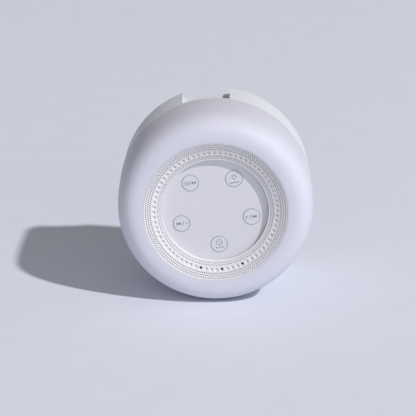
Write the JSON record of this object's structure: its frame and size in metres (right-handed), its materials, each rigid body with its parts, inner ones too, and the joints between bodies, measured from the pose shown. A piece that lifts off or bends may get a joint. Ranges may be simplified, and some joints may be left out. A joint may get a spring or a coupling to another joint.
{
  "type": "white noise sound machine",
  "caption": "Round white noise sound machine with a translucent light ring, a dimpled ring, a sunken keypad of push buttons and a power inlet in a cable recess at the back.",
  "frame": {"origin": "middle of the face that the feet stand on", "axes": "+Z is the way the keypad faces, +Y is the side with the power inlet and its cable recess, +X is to the right as the keypad is read"},
  "size_m": [0.1092, 0.1092, 0.0692],
  "materials": {
    "housing_plastic": "fine moulded satin, warm white",
    "ring_plastic": "fine moulded satin, dimpled",
    "diffuser_plastic": "smooth milky satin, translucent",
    "key_plastic": "fine matt, pale grey",
    "foot_rubber": "soft matt",
    "screw_steel": "zinc plated",
    "black_plastic": "moulded",
    "board_laminate": "circuit board with solder mask",
    "white_laminate": "white laminate",
    "led_package": "light emitting diode package",
    "can_aluminium": "drawn can",
    "contact_brass": "plain",
    "speaker_paper": "pressed paper",
    "red_wire": "insulated lead",
    "black_wire": "insulated lead"
  },
  "bodies": {
    "case": {"rear_housing": "housing_plastic", "inner_frame": "housing_plastic", "grille_ring": "ring_plastic", "diffuser": "diffuser_plastic", "timer_light_pipes": "diffuser_plastic", "button_plate": "key_plastic", "rubber_feet": "foot_rubber", "speaker_surround": "foot_rubber", "housing_screws": "screw_steel", "front_screws": "screw_steel", "ring_board_screws": "screw_steel", "main_board_screws": "screw_steel", "jack_board_screws": "screw_steel", "speaker_screws": "screw_steel", "switch_bodies": "screw_steel", "speaker_basket": "screw_steel", "speaker_magnet": "screw_steel", "keypad_socket": "black_plastic", "control_chips": "black_plastic", "dc_jack": "black_plastic", "key_board": "board_laminate", "main_board": "board_laminate", "jack_board": "board_laminate", "led_ring_board": "white_laminate", "keypad_ribbon": "white_laminate", "wire_sockets": "white_laminate", "timer_leds": "led_package", "ring_leds": "led_package", "capacitors": "can_aluminium", "dc_jack_pin": "contact_brass", "speaker_gasket": "speaker_paper", "speaker_spider": "speaker_paper", "power_wires": "red_wire", "ring_wires": "red_wire", "speaker_wires": "black_wire"},
    "light_key": {"button_light": "key_plastic", "plunger_light": "black_plastic"},
    "power_key": {"button_power": "key_plastic", "plunger_power": "black_plastic"},
    "previous_key": {"button_previous": "key_plastic", "plunger_previous": "black_plastic"},
    "timer_key": {"button_timer": "key_plastic", "plunger_timer": "black_plastic"},
    "next_key": {"button_next": "key_plastic", "plunger_next": "black_plastic"},
    "cone": {"speaker_cone": "speaker_paper", "speaker_dust_cap": "speaker_paper", "voice_coil": "contact_brass"}
  },
  "joints": [
    {"name": "press_light", "type": "slide", "parent": "case", "child": "light_key", "axis": [0, 0, -1], "range_m": [0, 0.0006], "stiffness_N_per_m": 800},
    {"name": "press_power", "type": "slide", "parent": "case", "child": "power_key", "axis": [0, 0, -1], "range_m": [0, 0.0006], "stiffness_N_per_m": 800},
    {"name": "press_previous", "type": "slide", "parent": "case", "child": "previous_key", "axis": [0, 0, -1], "range_m": [0, 0.0006], "stiffness_N_per_m": 800},
    {"name": "press_timer", "type": "slide", "parent": "case", "child": "timer_key", "axis": [0, 0, -1], "range_m": [0, 0.0006], "stiffness_N_per_m": 800},
    {"name": "press_next", "type": "slide", "parent": "case", "child": "next_key", "axis": [0, 0, -1], "range_m": [0, 0.0006], "stiffness_N_per_m": 800},
    {"name": "cone_travel", "type": "slide", "parent": "case", "child": "cone", "axis": [0, 0, -1], "range_m": [-0.0008, 0.0008], "stiffness_N_per_m": 1500}
  ]
}
